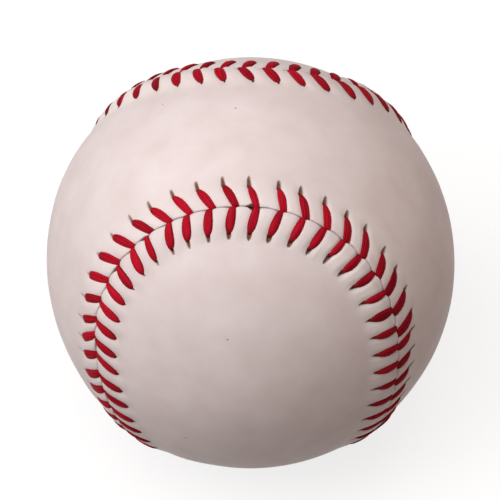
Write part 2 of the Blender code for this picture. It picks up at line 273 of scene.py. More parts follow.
@dataclass
class SeamLine:
    """The closed seam on the ball, addressed by its length over the cover."""

    waist_width: float = 0.0349
    lean_deg: float = 9.8
    oval: float = 0.00022
    oval_axis: tuple[float, float, float] = (0.0, 0.74, 0.67)
    samples: int = 8000
    turn_step: float = 0.0005
    rise: float = field(init=False)
    swing: float = field(init=False)
    length: float = field(init=False)
    pitch: float = field(init=False)
    turns: np.ndarray = field(init=False)
    lengths: np.ndarray = field(init=False)

    def __post_init__(self) -> None:
        """Measures the running length of the seam."""
        waist = self.waist_width / (2.0 * COVER_RADIUS)
        lean = math.radians(self.lean_deg)
        self.rise = 2.0 / (3.0 * math.tan(waist) + 2.0 * math.tan(lean))
        self.swing = 1.0 - self.rise * math.tan(waist)
        self.turns = np.linspace(0.0, 2.0 * math.pi, self.samples + 1)
        points = self.directions(self.turns)
        steps = np.linalg.norm(np.diff(points, axis=0), axis=1) * COVER_RADIUS
        self.lengths = np.concatenate(([0.0], np.cumsum(steps)))
        self.length = float(self.lengths[-1])
        self.pitch = self.length / STITCHES

    def directions(self, turn: np.ndarray) -> np.ndarray:
        """Finds the seam on the round ball.

        Args:
            turn: Places on the seam, as its angle of travel.

        Returns:
            Unit vectors from the ball's centre.
        """
        x = -np.sin(turn) - self.swing * np.sin(3.0 * turn)
        y = np.cos(turn) - self.swing * np.cos(3.0 * turn)
        z = self.rise * np.cos(2.0 * turn)
        return unit(np.stack((x, y, z), axis=-1))

    def radius(self, outward: np.ndarray) -> np.ndarray:
        """Radius of the slightly uneven cover in directions from the ball's centre."""
        stretch = self.oval * (outward @ np.array(self.oval_axis)) ** 2
        return COVER_RADIUS + stretch + sum(bulge.at(outward) for bulge in BULGES)

    def frames(self, along: np.ndarray, across: np.ndarray) -> Arrays:
        """Finds the local directions at places beside the seam.

        Args:
            along: Lengths along the seam.
            across: Distances to its left over the cover.

        Returns:
            Outward and forward unit vectors.
        """
        across = across + MM * along_seam(SEAM_DRIFT_MM, along / self.pitch)
        turn = np.interp(np.mod(along, self.length), self.lengths, self.turns)
        out = self.directions(turn)
        ahead = unit(self.directions(turn + self.turn_step) - self.directions(turn - self.turn_step))
        angle = (across / COVER_RADIUS)[..., None]
        return out * np.cos(angle) + np.cross(out, ahead) * np.sin(angle), ahead


@dataclass(frozen=True)
class SeamRidge:
    """The ridge that the doubled edges and the thread beneath them raise along the seam."""

    height: float = 0.00074
    flat: float = 0.0012
    foot: float = 0.0068

    def at(self, reach: np.ndarray, stitch: np.ndarray) -> np.ndarray:
        """Height over the cover at distances from the seam and places counted in stitches."""
        usual = self.height * along_seam(RIDGE_SWELL, stitch)
        return usual * (1.0 - smooth_step(self.flat, self.foot, np.abs(reach)))


@dataclass(frozen=True)
class StitchLay:
    """How the arms lie on a panel round one stitch: millimetres from its apex, and shares of the arm."""

    stitch: int
    crossing: float
    back: float
    reach: float
    half_width: float
    slit_end: float
    slit_width: float
    slit_tip: float = 0.5
    # Strength of the painted shade along the slit's rim.
    slit_rim_shade: float = 1.0
    bow: float = 0.05
    sink: float = 0.0
    # Painted shade that darkens this arm's thread.
    thread_shade: float = 0.0
    slit_share: float = 0.45
    widest: float = 0.42
    seam_share: float = 0.62


@dataclass(frozen=True)
class OddArm:
    """An arm plainly unlike its neighbours: millimetres, and a share of painted shade on its thread, added to
    its lay.
    """

    stitch: int
    crossing: float = 0.0
    back: float = 0.0
    reach: float = 0.0
    half_width: float = 0.0
    # Painted shade added to this arm's thread.
    thread_shade: float = 0.0


UPPER_LAYS = (
    StitchLay(1, 0.0, 1.8, 4.6, 0.92, 5.0, 0.40, bow=0.10, thread_shade=0.3, slit_share=0.62),
    StitchLay(18, 0.2, 1.9, 4.4, 0.85, 5.8, 0.50, bow=0.12, thread_shade=0.3),
    StitchLay(35, 1.3, 2.7, 6.0, 1.02, 7.0, 0.24, slit_rim_shade=0.5, thread_shade=0.4, slit_share=0.96, seam_share=0.72),
    StitchLay(39, 0.2, 1.8, 3.8, 0.84, 5.8, 0.30, slit_rim_shade=0.5, thread_shade=0.2, slit_share=0.94, seam_share=0.70),
    StitchLay(42, 0.3, 2.4, 5.1, 0.91, 5.9, 0.40, slit_rim_shade=0.5, thread_shade=0.2, slit_share=0.72, seam_share=0.66),
    StitchLay(47, 0.0, 2.2, 4.0, 0.80, 6.0, 0.66, slit_tip=0.7, slit_rim_shade=0.45, slit_share=0.52, seam_share=0.70),
    StitchLay(
        53, 0.0, 2.0, 4.0, 0.84, 5.5, 0.80, slit_tip=0.35, bow=0.10, sink=0.03, thread_shade=0.2,
        slit_share=0.36, widest=0.52, seam_share=0.86,
    ),
    StitchLay(
        57, 0.1, 1.8, 4.3, 1.00, 5.5, 0.80, slit_tip=0.35, bow=0.12, sink=-0.05, thread_shade=1.2,
        slit_share=0.34, widest=0.54, seam_share=0.86,
    ),
    StitchLay(
        60, -0.6, 2.2, 3.3, 0.98, 5.2, 0.60, slit_tip=0.35, bow=0.10, sink=-0.06, thread_shade=0.9,
        slit_share=0.26, widest=0.62, seam_share=0.80,
    ),
    StitchLay(75, 0.2, 1.9, 4.4, 0.90, 5.8, 0.50, bow=0.12, thread_shade=0.3),
    StitchLay(85, 0.0, 1.9, 4.4, 1.05, 4.8, 0.40, bow=0.10, thread_shade=0.6),
    StitchLay(89, -3.4, 3.5, 5.4, 1.35, 5.7, 0.40, bow=0.10, sink=-0.06, thread_shade=1.0),
    StitchLay(91, -1.8, 2.3, 5.0, 1.30, 5.3, 0.40, bow=0.10, sink=-0.03, thread_shade=0.4),
    StitchLay(93, 0.0, 1.8, 4.3, 1.14, 4.8, 0.40, bow=0.10, thread_shade=0.2, slit_share=0.70),
)
LOWER_LAYS = (
    StitchLay(1, -1.1, 2.4, 4.2, 0.98, 5.3, 0.55, sink=-0.10, thread_shade=0.9, slit_share=0.55, seam_share=0.72),
    StitchLay(5, -1.9, 2.6, 4.0, 0.95, 5.3, 0.55, sink=-0.08, thread_shade=1.1, slit_share=0.55, seam_share=0.72),
    StitchLay(10, 0.0, 1.8, 4.2, 0.90, 5.3, 0.55),
    StitchLay(24, 0.0, 1.8, 4.3, 0.88, 5.4, 0.60),
    StitchLay(
        32, 0.4, 1.3, 4.3, 1.16, 4.7, 0.34, slit_rim_shade=0.5, bow=0.0, thread_shade=0.6, slit_share=0.62, seam_share=0.32,
    ),
    StitchLay(37, 0.3, 1.6, 4.3, 1.00, 4.5, 0.32, slit_rim_shade=0.5, bow=0.0, slit_share=0.56, seam_share=0.36),
    StitchLay(41, -0.5, 1.6, 4.7, 0.98, 4.9, 0.32, slit_rim_shade=0.4, bow=0.0, slit_share=0.50, seam_share=0.46),
    StitchLay(
        46, -0.8, 2.0, 4.2, 0.93, 5.6, 0.66, slit_tip=0.6, slit_rim_shade=0.45, bow=0.03,
        slit_share=0.72, seam_share=0.64,
    ),
    StitchLay(50, -0.5, 1.4, 4.6, 0.86, 5.8, 0.84, slit_tip=0.7, thread_shade=0.2, slit_share=0.66),
    StitchLay(
        54, -0.5, 1.0, 4.4, 0.90, 5.3, 0.76, slit_tip=0.4, slit_rim_shade=0.8, bow=0.10, sink=0.06, thread_shade=0.4,
        slit_share=0.30, widest=0.50, seam_share=0.60,
    ),
    StitchLay(
        57, -0.7, 1.1, 4.6, 0.92, 5.3, 0.60, slit_tip=0.4, slit_rim_shade=0.7, bow=0.10, sink=-0.05, thread_shade=1.2,
        slit_share=0.24, widest=0.52, seam_share=0.60,
    ),
    StitchLay(
        60, -1.5, 1.3, 4.7, 0.86, 5.3, 0.52, slit_tip=0.4, bow=0.10, sink=-0.06, thread_shade=0.9,
        slit_share=0.24, widest=0.55,
    ),
    StitchLay(72, 0.0, 1.8, 4.3, 0.88, 5.4, 0.60, bow=0.08, thread_shade=0.3),
    StitchLay(84, 0.0, 1.8, 4.3, 0.95, 5.4, 0.60, sink=0.02, seam_share=0.66),
    StitchLay(90, -2.8, 3.2, 4.0, 0.80, 5.2, 0.50, sink=0.12, thread_shade=0.8),
    StitchLay(92, 0.0, 2.0, 4.2, 1.05, 5.3, 0.55, sink=-0.10, thread_shade=0.5, slit_share=0.55, seam_share=0.72),
)
UPPER_ODD = (
    OddArm(4, thread_shade=0.5), OddArm(5, thread_shade=0.8), OddArm(6, thread_shade=0.9), OddArm(7, half_width=-0.12, thread_shade=1.6),
    OddArm(8, half_width=-0.2, thread_shade=1.8),
    OddArm(37, crossing=0.3, back=-1.2, reach=-0.9), OddArm(38, crossing=0.8, back=-0.3, reach=-0.4),
    OddArm(41, reach=0.4), OddArm(44, crossing=0.35, back=-0.2, reach=-0.5),
    OddArm(45, crossing=0.15, reach=-0.4), OddArm(49, crossing=-0.6, reach=-0.3, half_width=-0.1),
    OddArm(50, back=-0.6), OddArm(54, back=0.3, reach=0.3),
    OddArm(55, crossing=0.5, back=-0.3, reach=-0.5, half_width=0.05),
    OddArm(58, crossing=0.5, back=-0.4, reach=0.8, half_width=0.1),
    OddArm(59, crossing=-0.4, reach=-0.3, half_width=-0.1),
    OddArm(88, half_width=-0.3), OddArm(92, crossing=-0.3, reach=0.2), OddArm(95, half_width=0.1),
)
LOWER_ODD = (
    OddArm(37, crossing=0.9, half_width=-0.1), OddArm(43, crossing=0.3, half_width=0.1),
    OddArm(44, crossing=-0.2, half_width=-0.15), OddArm(45, crossing=0.6, back=-0.3), OddArm(50, back=0.2),
    OddArm(53, reach=-0.9, half_width=-0.15), OddArm(56, crossing=0.3, reach=-0.2, half_width=-0.1),
    OddArm(57, half_width=0.05), OddArm(58, half_width=-0.1), OddArm(61, reach=-0.8, half_width=-0.15),
)
# Spread of the differences between arms, in the order they are drawn: millimetres, then shares.
LOOSE_MM = {
    "crossing": 0.12, "back": 0.15, "reach": 0.15, "half_width": 0.05,
    "slit_end": 0.15, "slit_width": 0.04, "bow": 0.03, "sink": 0.01,
}
LOOSE_SHARES = {"slit_share": 0.03, "seam_share": 0.03, "widest": 0.03, "slit_tip": 0.03}


@dataclass
class SewnRow:
    """All arms on one panel: the lays, with the differences that a hand leaves in sewing."""

    side: PanelSide
    lays: tuple[StitchLay, ...]
    odd: tuple[OddArm, ...]
    half_thickness: float
    seed: int
    least_slit: float = 0.0002
    least_gape: float = 0.00005
    seen_looseness: float = 0.25
    slit_lean: float = 0.00012
    slit_lean_run: float = 0.0015
    narrowing: float = 1.6
    crossing: np.ndarray = field(init=False)
    back: np.ndarray = field(init=False)
    reach: np.ndarray = field(init=False)
    half_width: np.ndarray = field(init=False)
    slit_end: np.ndarray = field(init=False)
    slit_width: np.ndarray = field(init=False)
    slit_tip: np.ndarray = field(init=False)
    slit_rim_shade: np.ndarray = field(init=False)
    bow: np.ndarray = field(init=False)
    sink: np.ndarray = field(init=False)
    widest: np.ndarray = field(init=False)
    slit_share: np.ndarray = field(init=False)
    seam_share: np.ndarray = field(init=False)
    tone: np.ndarray = field(init=False)
    twist: np.ndarray = field(init=False)
    gape: np.ndarray = field(init=False)

    def __post_init__(self) -> None:
        """Spreads the lays over all stitches, with differences that are the same on every run."""
        draw = np.random.RandomState(self.seed)
        for name, loose in LOOSE_MM.items():
            setattr(self, name, MM * self._spread(name, draw, loose))
        self.slit_end = np.maximum(self.slit_end, self.reach + self.least_slit)
        for name, loose in LOOSE_SHARES.items():
            setattr(self, name, self._spread(name, draw, loose))
        # Each stitch's thread tone: a random share, plus painted shade on arms that lie in shade.
        self.tone = draw.uniform(0.0, 1.0, STITCHES) + self._spread("thread_shade", draw, 0.0)
        self.twist = draw.uniform(-1.0, 1.0, STITCHES)
        self.gape = self.least_gape * np.maximum(draw.uniform(-1.0, 1.0, STITCHES), 0.0)
        for number, opening in WIDE_GAPES_MM:
            self.gape[number] = opening * MM
        self.slit_rim_shade = self._spread("slit_rim_shade", draw, 0.0)

    def _spread(self, name: str, draw: np.random.RandomState, loose: float) -> np.ndarray:
        """Reads one value of the lays at every stitch.

        Args:
            name: Field of the lays.
            draw: Source of the differences.
            loose: Spread of the differences where the photo doesn't show the stitches.

        Returns:
            The value by stitch, as the lays give it.
        """
        numbers = np.arange(STITCHES)
        values = along_seam(tuple((lay.stitch, getattr(lay, name)) for lay in self.lays), numbers)
        seen = (numbers >= SEEN_STITCHES[0]) & (numbers <= SEEN_STITCHES[1])
        values = values + draw.normal(0.0, loose, STITCHES) * np.where(seen, self.seen_looseness, 1.0)
        for arm in self.odd:
            values[arm.stitch] += getattr(arm, name, 0.0)
        return values

    def axis(self, stitch: np.ndarray, reach: np.ndarray) -> np.ndarray:
        """Places along the seam of the arms' middle lines.

        Args:
            stitch: Numbers of the stitches.
            reach: Distances from the seam.

        Returns:
            Lengths ahead of each stitch's apex.
        """
        share = np.clip(reach / self.reach[stitch], 0.0, 1.0)
        straight = self.crossing[stitch] - (self.crossing[stitch] + self.back[stitch]) * share
        beyond = smooth_step(0.0, self.slit_lean_run, reach - self.reach[stitch])
        return straight + self.bow[stitch] * np.sin(math.pi * share) - self.slit_lean * beyond

    def slope(self, stitch: np.ndarray) -> np.ndarray:
        """Lean of the arms against the square across the seam."""
        return (self.crossing[stitch] + self.back[stitch]) / self.reach[stitch]

    def width(self, stitch: int, share: np.ndarray) -> np.ndarray:
        """Finds how wide an arm is on its way to the seam.

        Args:
            stitch: Number of the stitch.
            share: Places from the slit, at 0, to the seam, at 1.

        Returns:
            Half widths.
        """
        slit, widest, end = self.slit_share[stitch], self.widest[stitch], self.seam_share[stitch]
        swell = slit + (1.0 - slit) * np.sin(0.5 * math.pi * np.clip(share / widest, 0.0, 1.0))
        fall = np.clip((share - widest) / (1.0 - widest), 0.0, 1.0) ** self.narrowing
        return self.half_width[stitch] * np.minimum(swell, 1.0 - (1.0 - end) * fall)


@dataclass(frozen=True, kw_only=True)
class Finish:
    """What all finishes share: two tones in a pattern, marks over them, a fine relief and a gloss."""

    name: str
    tone: str
    other_tone: str
    roughness: float
    specular: float = 0.5
    bump: float
    relief_mm: float

    def material(self) -> bpy.types.Material:
        """Builds the node material.

        Returns:
            The material.
        """
        material = bpy.data.materials.new(self.name)
        material.use_nodes = True
        tree = material.node_tree
        share, height, marks = self._pattern(tree)
        tones = {"data_type": "RGBA", 6: linear_from_hex(self.tone), 7: linear_from_hex(self.other_tone)}
        colour = add_node(tree, "Mix", tones, {0: share}).outputs[2]
        for mark, tint in marks:
            tones = {"data_type": "RGBA", 7: linear_from_hex(tint)}
            colour = add_node(tree, "Mix", tones, {0: mark, 6: colour}).outputs[2]
        depth = {"Strength": self.bump, "Distance": self.relief_mm * MM}
        bump = add_node(tree, "Bump", depth, {"Height": height})
        shader = tree.nodes["Principled BSDF"]
        tree.links.new(colour, shader.inputs["Base Color"])
        tree.links.new(bump.outputs["Normal"], shader.inputs["Normal"])
        shader.inputs["Roughness"].default_value = self.roughness
        shader.inputs["Specular IOR Level"].default_value = self.specular
        return material

    def _pattern(self, tree: Tree) -> Pattern:
        """Adds the finish's own nodes; gives the share of the other tone, the height and the marks."""
        raise NotImplementedError


@dataclass(frozen=True, kw_only=True)
class LeatherFinish(Finish):
    """White cowhide, chrome tanned and plated smooth: satin, faintly rosy, with fine pores."""

    name: str = "white_cowhide"
    tone: str = "EADDDC"
    other_tone: str = "E0D1CF"
    speck: str = "6A5D57"
    # Painted light: a lighter tone laid beside the seam where the ridge swells.
    painted_light_tone: str = "F1E6E3"
    # Painted shade for the seam crease, also laid faintly round each slit.
    soil: str = "6E5B4E"
    slit: str = "80502C"
    # Painted shade: dark along the slits' edges and inside them next to the thread.
    slit_rim_shade: str = "54240F"
    roughness: float = 0.55
    specular: float = 0.35
    bump: float = 0.12
    relief_mm: float = 0.06
    mottle_mm: float = 7.0
    mottle_range: tuple[float, float] = (0.3, 0.7)
    grain_mm: float = 0.45
    grain_share: float = 0.7
    pore_cell_mm: float = 0.48
    speck_cell_mm: float = 5.0
    speck_range: tuple[float, float] = (0.045, 0.028)
    speck_strength: float = 0.7

    def _pattern(self, tree: Tree) -> Pattern:
        """Clouds the hide, with grain and pores, and marks it with specks, painted light beside the seam,
        painted shade in the seam crease and at the slits' rims, and awl slits and cut edges in raw leather.

        Args:
            tree: The leather's node tree.

        Returns:
            Share of the other tone, height and marks.
        """
        place = {"Vector": add_node(tree, "TexCoord").outputs["Object"]}
        slow = {"Scale": per_metre(self.mottle_mm), "Detail": 4.0, "Roughness": 0.55}
        mottle = add_node(tree, "TexNoise", slow, place).outputs["Fac"]
        fine = {"Scale": per_metre(self.grain_mm), "Detail": 3.0, "Roughness": 0.6}
        grain = add_node(tree, "TexNoise", fine, place).outputs["Fac"]
        pores, cells = (
            add_node(tree, "TexVoronoi", {"Scale": per_metre(size)}, place).outputs["Distance"]
            for size in (self.pore_cell_mm, self.speck_cell_mm)
        )
        limits = dict(zip(("From Min", "From Max"), self.mottle_range))
        clouds = add_node(tree, "MapRange", limits, {"Value": mottle}).outputs["Result"]
        limits = dict(zip(("From Min", "From Max"), self.speck_range)) | {"To Max": self.speck_strength}
        marks = [(add_node(tree, "MapRange", limits, {"Value": cells}).outputs["Result"], self.speck)]
        # Painted light beside the seam, painted shade in the seam crease and faintly round the slits, raw
        # leather in the slits and cut edges, and painted shade at the slits' rims.
        tints = {"painted_light": self.painted_light_tone, "soil": self.soil, "slit": self.slit, "slit_rim_shade": self.slit_rim_shade}
        for name, tint in tints.items():
            marks.append((add_node(tree, "Attribute", {"attribute_name": name}).outputs["Fac"], tint))
        sums = {"operation": "MULTIPLY_ADD", 1: self.grain_share}
        height = add_node(tree, "Math", sums, {0: grain, 2: pores}).outputs[0]
        return clouds, height, marks


@dataclass(frozen=True, kw_only=True)
class ThreadFinish(Finish):
    """Waxed red cotton, laid in several plies: satin, with fine lines along the strand's UV map."""

    name: str = "waxed_red_cotton"
    tone: str = "CA0F2B"
    # The deep tone takes the fibres' own variation and the painted shade of shaded arms, ply grooves and
    # sides.
    other_tone: str = "760010"
    # Painted shade where the thread passes into the leather.
    entry_shade: str = "4A1A16"
    roughness: float = 0.7
    specular: float = 0.10
    bump: float = 0.5
    relief_mm: float = 0.12
    fibres_around: float = 14.0
    fibres_along: float = 190.0
    # Shares of the stitch tone, which holds painted shade, and of the painted shade in grooves and at the
    # sides.
    tone_and_shade_share: float = 0.25
    groove_share: float = 0.55
    first_shade: float = 0.42

    def _pattern(self, tree: Tree) -> Pattern:
        """Darkens the thread by fibres, by its tone per stitch with painted shade added, and by painted shade
        in the ply grooves and at the sides; paints shade where it passes into the leather.

        Args:
            tree: The thread's node tree.

        Returns:
            Share of the other tone, height and marks.
        """
        around = add_node(tree, "UVMap", {"uv_map": "UVMap"}).outputs["UV"]
        stretch = {"Scale": (self.fibres_around, self.fibres_along, 1.0)}
        place = {"Vector": add_node(tree, "Mapping", stretch, {"Vector": around}).outputs["Vector"]}
        fine = {"Scale": 1.0, "Detail": 4.0, "Roughness": 0.65}
        fibres = add_node(tree, "TexNoise", fine, place).outputs["Fac"]
        shade = fibres
        for name, share in (("tone", self.tone_and_shade_share), ("groove", self.groove_share)):
            mark = add_node(tree, "Attribute", {"attribute_name": name}).outputs["Fac"]
            sums = {"operation": "MULTIPLY_ADD", 1: share}
            shade = add_node(tree, "Math", sums, {0: mark, 2: shade}).outputs[0]
        limits = {"From Min": self.first_shade, "From Max": 1.0}
        depth = add_node(tree, "MapRange", limits, {"Value": shade}).outputs["Result"]
        entry_shade = add_node(tree, "Attribute", {"attribute_name": "entry_shade"}).outputs["Fac"]
        return depth, fibres, [(entry_shade, self.entry_shade)]


@dataclass(frozen=True)
class SewnRelief:
    """Relief and marks of the leather round its stitches: pillows, pockets, pulled-in edges, awl slits, and
    painted shade in the seam crease and at the slits' rims.
    """

    pillow: float = 0.00014
    pocket: float = 0.00015
    valley_width: float = 1.05
    valley_power: float = 3.2
    fade_from: float = -0.0010
    fade_to: float = 0.0020
    pull: float = 0.00020
    pull_along: float = 0.0006
    pull_across: float = 0.0005
    dent: float = 0.00006
    dent_along: float = 0.0008
    dent_across: float = 0.0011
    slit_depth: float = 0.00045
    slit_lap: float = 0.0003
    slit_blur: float = 0.00008
    slit_roundness: int = 6
    slit_rim_shade_shade: float = 0.95
    slit_rim_shade_breadth: float = 0.00012
    root_shade: float = 0.6
    root_share: float = 0.45
    # A faint darkening round each slit's dent; the numbers below paint shade into the seam crease.
    slit_soil: float = 0.04
    soil_breadth: float = 0.00016
    soil_mean: float = 0.45
    soil_change: float = 0.25
    soil_turn: float = 1.7
    soil_least: float = 0.4
    soil_ahead: float = 0.0006
    soil_run: float = 0.0016

    def at(self, row: SewnRow, stitch: np.ndarray, step: np.ndarray, reach: np.ndarray) -> Arrays:
        """Finds the relief and marks at points of the sewn band.

        Args:
            row: The arms on the panel.
            stitch: Stitch number of each point.
            step: Distance ahead of the arm's middle line.
            reach: Distance from the seam.

        Returns:
            Height, painted shade of the seam crease with a faint darkening round each slit, slit share, and
            painted shade at the slit's rim of each point.
        """
        past = reach - row.reach[stitch]
        tail = row.slit_end[stitch] - row.reach[stitch]
        across = step / np.sqrt(1.0 + row.slope(stitch) ** 2)
        valley_width = row.half_width[stitch] * self.valley_width
        valley = np.exp(-np.abs(across / valley_width) ** self.valley_power)
        deep = row.sink[stitch]
        height = (self.pillow + deep) * (1.0 - valley) - (self.pocket + deep) * valley
        height = height * (1.0 - smooth_step(self.fade_from, self.fade_to, past))
        height = height - self.pull * bell(across, self.pull_along) * bell(reach, self.pull_across)
        near = bell(step, self.dent_along) * bell(past - 0.5 * tail, self.dent_across)
        share = (past + self.slit_lap) / (tail + self.slit_lap)
        inside = np.clip(share, 0.0, 1.0)
        taper = (1.0 - (1.0 - row.slit_tip[stitch]) * inside) * np.sqrt(1.0 - inside ** self.slit_roundness)
        opened = (share > 0.0) & (share < 1.0)
        half = np.where(opened, 0.5 * row.slit_width[stitch] * taper, -np.inf)
        slit = np.clip((half - np.abs(step)) / self.slit_blur + 0.5, 0.0, 1.0)
        # Painted shade: dark along the slit's edges, and inside the slit next to the thread's end.
        slit_rim_shade = self.slit_rim_shade_shade * row.slit_rim_shade[stitch] * bell(np.abs(step) - half, self.slit_rim_shade_breadth)
        slit_rim_shade = np.maximum(slit_rim_shade, self.root_shade * slit * bell(share, self.root_share))
        # Painted shade in the seam crease, plus a faint darkening round each slit.
        soil = self._seam_soil(stitch, step) * np.exp(-reach / self.soil_breadth) + self.slit_soil * near
        return height - self.dent * near - self.slit_depth * slit, np.clip(soil, 0.0, 1.0), slit, slit_rim_shade

    def _seam_soil(self, stitch: np.ndarray, step: np.ndarray) -> np.ndarray:
        """Finds the painted shade of the seam crease: most just ahead of a stitch, by turns stronger and
        weaker.

        Args:
            stitch: Stitch number of each point.
            step: Distance ahead of the arm's middle line.

        Returns:
            Shares of the painted crease shade's colour.
        """
        ahead = np.exp(-np.abs(step - self.soil_ahead) / self.soil_run)
        strength = self.soil_mean + self.soil_change * np.sin(self.soil_turn * stitch)
        return strength * (self.soil_least + (1.0 - self.soil_least) * ahead)


@dataclass
class CoverPanel:
    """One figure-eight leather panel with rolled edges, a sewn band and a smooth middle."""

    seam: SeamLine
    ridge: SeamRidge
    row: SewnRow
    floor_height: float
    name: str
    relief: SewnRelief = SewnRelief()
    thickness: float = 0.0010
    band: float = 0.0095
    even_from: float = 0.0070
    roll: float = 0.00026
    roll_start: float = 0.00002
    roll_points: int = 7
    raw_edge: float = 0.9
    edge_slope: float = 0.85
    edge_run: float = 0.0012
    gape_back: float = 0.0013
    gape_run: float = 0.00070
    uneven_slow: float = 0.00003
    uneven_quick: float = 0.000012
    painted_light_swell: float = 0.2
    painted_light_rise: tuple[float, float] = (0.0010, 0.0025)
    painted_light_fall: tuple[float, float] = (0.0035, 0.0085)
    stretch_step: float = 0.0002
    ring_points: int = 320
    tip_points: int = 16
    tip_blend: int = 14
    near: float = 0.00108
    half_steps_mm: tuple[float, ...] = (0.20, 0.32, 0.42, 0.54, 0.72, 0.90, 1.08, 1.30, 1.60)
    midway_mm: float = 1.95
    under_reaches_mm: tuple[float, ...] = (9.5, 6.5, 4.0, 2.0, 0.6)
    edge_reaches_mm: tuple[float, float] = (0.12, 0.03)
    edge_depths: tuple[float, float] = (0.95, 0.75)
    edge_relief: tuple[float, float] = (0.0, 0.4)
    first_reaches_mm: tuple[float, ...] = (0.40, 0.55, 0.75)
    even_reaches_mm: tuple[float, float, float] = (1.0, 6.75, 0.25)
    last_reaches_mm: tuple[float, ...] = (6.9, 7.4, 8.3, 9.5)

    def build(self, material: bpy.types.Material) -> Piece:
        """Builds the panel as one closed piece.

        Args:
            material: The leather.

        Returns:
            The panel.
        """
        band = self._sewn_band()
        middles = [self._middle(layer) for layer in Layer]
        bpy.ops.object.select_all(action="DESELECT")
        for part in (*middles, band):
            part.select_set(True)
        bpy.context.view_layer.objects.active = band
        bpy.ops.object.join()
        close_mesh(band)
        for layer in Layer:
            self._bridge(band, layer)
        close_mesh(band)
        dress(band, material)
        return band

    def _undulation(self, outward: np.ndarray) -> np.ndarray:
        """Finds the slight unevenness of the cover over the windings, from waves that don't repeat.

        Args:
            outward: Unit vectors from the ball's centre.

        Returns:
            Heights over the smooth cover.
        """
        slow = SLOW_WAVES[0].at(outward) * SLOW_WAVES[1].at(outward) + SLOW_WAVES[2].at(outward)
        quick = QUICK_WAVES[0].at(outward) * QUICK_WAVES[1].at(outward)
        return self.uneven_slow * slow + self.uneven_quick * quick

    def _rest(self, points: np.ndarray) -> np.ndarray:
        """Flattens the small patch of leather that the ball stands on."""
        points[..., 2] = np.maximum(points[..., 2], self.floor_height)
        return points

    def _profile(self) -> Arrays:
        """Rows of the band from under the leather, round its edge and over its top.

        Returns:
            Distance from the seam, height against the ridge, and share of the sewn relief.
        """
        under = np.array(self.under_reaches_mm) * MM
        turn = np.linspace(0.0, 0.5 * math.pi, self.roll_points)
        even = np.arange(*self.even_reaches_mm)
        top = np.concatenate((self.first_reaches_mm, even, self.last_reaches_mm)) * MM
        rolled = self.roll_start + self.roll * (1.0 - np.cos(turn))
        reach = np.concatenate((under, np.array(self.edge_reaches_mm) * MM, rolled, top))
        height = np.concatenate((
            np.full(len(under), -self.thickness),
            -self.thickness * np.array(self.edge_depths),
            -self.roll * (1.0 - np.sin(turn)),
            np.zeros(len(top)),
        ))
        relief = np.concatenate((np.zeros(len(under)), self.edge_relief, np.ones(len(turn) + len(top))))
        return reach, height, relief

    def _moved(self, along: np.ndarray, stitch: np.ndarray, gaping: np.ndarray) -> np.ndarray:
        """Finds how far the edge stands off the seam line.

        Args:
            along: Lengths along the seam.
            stitch: Stitch number of each point.
            gaping: Share of the lacing's openings that a point takes up.

        Returns:
            Distances into the panel: an opening behind each stitch, and a swing of the line from
            stitch to stitch.
        """
        opening = np.zeros_like(along)
        for number in (stitch - 1, stitch, stitch + 1):
            place = number * self.seam.pitch - self.gape_back
            opening = opening + self.row.gape[number % STITCHES] * bell(along - place, self.gape_run)
        turns = along / self.seam.pitch
        swing = MM * along_seam(SEAM_SWING_MM, turns) * np.sin(2.0 * math.pi * turns)
        return opening * gaping + self.row.side.sign * swing

    def _sewn_band(self) -> Piece:
        """Builds the band along the seam, from the underside round the rolled edge to the top.

        Returns:
            The band, with its marks and border as attributes.
        """
        seam = self.seam
        half_steps = np.array(self.half_steps_mm)
        steps = np.concatenate(((-self.midway_mm,), -half_steps[::-1], (0.0,), half_steps)) * MM
        reach_rows, height_rows, relief_rows = self._profile()
        last = len(reach_rows) - 1
        columns = STITCHES * len(steps)
        piece, column, line = add_grid(self.name, columns, last)
        stitch, place = np.divmod(column % columns, len(steps))
        reach, level, sewn = reach_rows[line], height_rows[line], relief_rows[line]
        even = stitch * seam.pitch + (place - len(half_steps) - 1) / len(steps) * seam.pitch
        laid, step = self._columns(stitch, steps[place], reach)
        fade = smooth_step(self.even_from, self.band, reach)
        along = laid * (1.0 - fade) + even * fade
        above = np.where(level < -self.roll, 0.0, 1.0)
        moved = self._moved(along, stitch, 1.0 - self.edge_slope * (1.0 - above))
        aside = self.row.side.sign * (reach + moved * np.exp(-reach / self.edge_run))
        outward = seam.frames(along, aside)[0]
        relief, soil, slit, slit_rim_shade = self.relief.at(self.row, stitch, step, reach)
        height = self.ridge.at(reach, along / seam.pitch) + level + relief * sewn
        height = height + self._undulation(outward) * above
        lay_points(piece, self._rest(outward * (seam.radius(outward) + height)[:, None]))
        # Painted light: the leather beside the seam is lightened where the ridge swells more than usual.
        swell = (along_seam(RIDGE_SWELL, along / seam.pitch) - 1.0) / self.painted_light_swell
        beside = smooth_step(*self.painted_light_rise, reach) * (1.0 - smooth_step(*self.painted_light_fall, reach))
        cut_edge = np.where((line >= len(self.under_reaches_mm)) & (above == 0.0), self.raw_edge, 0.0)
        border = np.where(line == last, Layer.OUTER.value, np.where(line == 0, Layer.INNER.value, 0.0))
        marks = {
            "soil": soil * above,
            "painted_light": np.clip(swell, 0.0, 1.0) * beside * above,
            "slit": np.maximum(slit * sewn, cut_edge),
            "slit_rim_shade": slit_rim_shade * sewn,
            "border": border,
        }
        for name, values in marks.items():
            set_attribute(piece, name, values)
        return piece

    def _stretch(self, along: np.ndarray, across: np.ndarray) -> np.ndarray:
        """Finds how much longer or shorter the cover is beside the seam than the seam itself.

        Args:
            along: Lengths along the seam.
            across: Distances to its left over the cover.

        Returns:
            True length for each unit of seam length.
        """
        ahead = self.seam.frames(along + self.stretch_step, across)[0]
        behind = self.seam.frames(along - self.stretch_step, across)[0]
        return np.linalg.norm(ahead - behind, axis=-1) * COVER_RADIUS / (2.0 * self.stretch_step)

